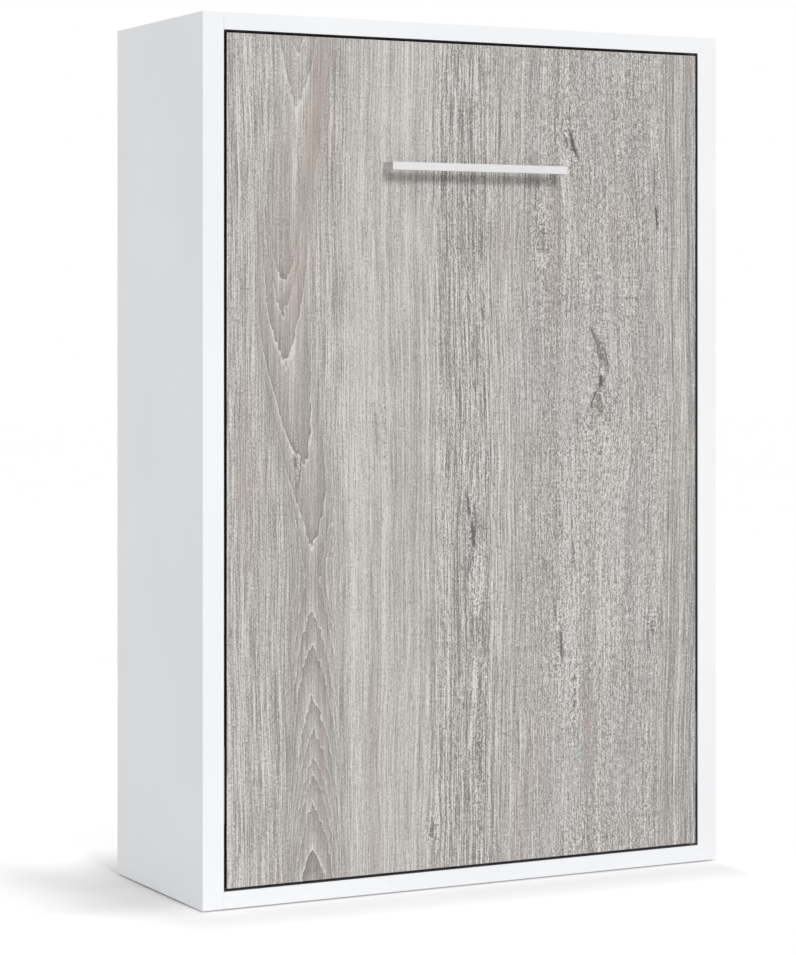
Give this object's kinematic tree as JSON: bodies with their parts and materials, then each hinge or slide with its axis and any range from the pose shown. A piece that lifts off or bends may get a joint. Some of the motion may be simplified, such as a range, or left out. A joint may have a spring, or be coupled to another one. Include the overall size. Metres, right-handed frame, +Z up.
{
  "type": "wall bed",
  "caption": "Vertical wall bed: a white cabinet whose grey oak door is the underside of a fold-down bed with gas springs and a swing-out foot leg.",
  "frame": {"origin": "on the floor, at the centre of the outer box seen from above (handle included)", "axes": "+Z up, the door faces -Y, +X to the right seen from the front"},
  "size_m": [1.48, 0.605, 2.18],
  "materials": {
    "cabinet_white": "smooth satin white melamine board",
    "hardboard_white": "thin white-faced fibreboard",
    "door_oak": "light grey oak-effect board with vertical grain",
    "handle_aluminium": "finely brushed aluminium",
    "steel_grey": "grey powder-coated steel",
    "steel_zinc": "bright zinc-plated steel",
    "steel_silver": "silver powder-coated steel",
    "spring_black": "gloss black painted tube",
    "rod_chrome": "polished piston rod",
    "cam_metal": "zinc die-cast",
    "beech_wood": "clear-lacquered beech and birch",
    "black_plastic": "black moulded plastic",
    "white_plastic": "white extruded plastic",
    "bush_plastic": "natural bearing plastic",
    "black_rubber": "black rubber",
    "mattress_fabric": "quilted off-white knitted ticking",
    "strap_webbing": "dark grey woven webbing"
  },
  "bodies": {
    "cabinet": {"left_side_panel": "cabinet_white", "right_side_panel": "cabinet_white", "top_panel": "cabinet_white", "bottom_panel": "cabinet_white", "upper_back_panel": "hardboard_white", "lower_back_panel": "hardboard_white", "back_panel_joiner": "white_plastic", "upper_wall_rail": "cabinet_white", "middle_wall_rail": "cabinet_white", "floor_glides": "black_plastic", "cam_locks": "cam_metal", "cam_bolts": "steel_zinc", "corner_dowels": "beech_wood", "left_pivot_plate": "steel_grey", "right_pivot_plate": "steel_grey", "left_pivot_pin": "steel_zinc", "right_pivot_pin": "steel_zinc", "left_spring_anchor": "steel_grey", "right_spring_anchor": "steel_grey", "mechanism_screws": "steel_zinc", "left_stop_bracket": "steel_grey", "right_stop_bracket": "steel_grey", "stop_buffers": "black_rubber"},
    "bed": {"front_panel": "door_oak", "handle_bar": "handle_aluminium", "handle_posts": "handle_aluminium", "handle_screws": "steel_zinc", "left_bed_rail": "cabinet_white", "right_bed_rail": "cabinet_white", "head_board": "cabinet_white", "foot_board": "cabinet_white", "left_slat_ledger": "beech_wood", "right_slat_ledger": "beech_wood", "slat_holders": "black_plastic", "slats": "beech_wood", "door_battens": "beech_wood", "panel_brackets": "steel_zinc", "left_bed_plate": "steel_grey", "right_bed_plate": "steel_grey", "left_pivot_bush": "bush_plastic", "right_pivot_bush": "bush_plastic", "bed_plate_bolts": "steel_zinc", "leg_pivot_bolts": "steel_zinc", "mattress": "mattress_fabric", "bedding_straps": "strap_webbing", "strap_buckles": "black_plastic"},
    "foot_leg": {"left_leg_arm": "steel_silver", "right_leg_arm": "steel_silver", "leg_cross_tube": "steel_silver", "leg_feet": "black_rubber"},
    "left_cylinder": {"left_spring_cylinder": "spring_black"},
    "left_rod": {"left_spring_rod": "rod_chrome"},
    "right_cylinder": {"right_spring_cylinder": "spring_black"},
    "right_rod": {"right_spring_rod": "rod_chrome"}
  },
  "joints": [
    {"name": "bed_fold", "type": "hinge", "parent": "cabinet", "child": "bed", "pos_m": [0, -0.2025, 0.303], "axis": [1, 0, 0], "range_deg": [0, 90]},
    {"name": "leg_swing", "type": "hinge", "parent": "bed", "child": "foot_leg", "pos_m": [0, -0.1075, 2.105], "axis": [1, 0, 0], "range_deg": [0, 228]},
    {"name": "left_cylinder_swing", "type": "hinge", "parent": "cabinet", "child": "left_cylinder", "pos_m": [-0.664, -0.1125, 0.803], "axis": [1, 0, 0], "range_deg": [0, 4.01]},
    {"name": "left_rod_slide", "type": "slide", "parent": "left_cylinder", "child": "left_rod", "axis": [0, 0.0587, 0.9983], "range_m": [0, 0.1511]},
    {"name": "right_cylinder_swing", "type": "hinge", "parent": "cabinet", "child": "right_cylinder", "pos_m": [0.664, -0.1125, 0.803], "axis": [1, 0, 0], "range_deg": [0, 4.01]},
    {"name": "right_rod_slide", "type": "slide", "parent": "right_cylinder", "child": "right_rod", "axis": [0, 0.0587, 0.9983], "range_m": [0, 0.1511]}
  ],
  "couplings": [
    {"joint": "leg_swing", "follows": "bed_fold", "ratio": 2.5333},
    {"joint": "left_cylinder_swing", "follows": "bed_fold", "ratio": 0.044558},
    {"joint": "left_rod_slide", "follows": "bed_fold", "m_per_rad": 0.09613},
    {"joint": "right_cylinder_swing", "follows": "bed_fold", "ratio": 0.044558},
    {"joint": "right_rod_slide", "follows": "bed_fold", "m_per_rad": 0.09613}
  ]
}
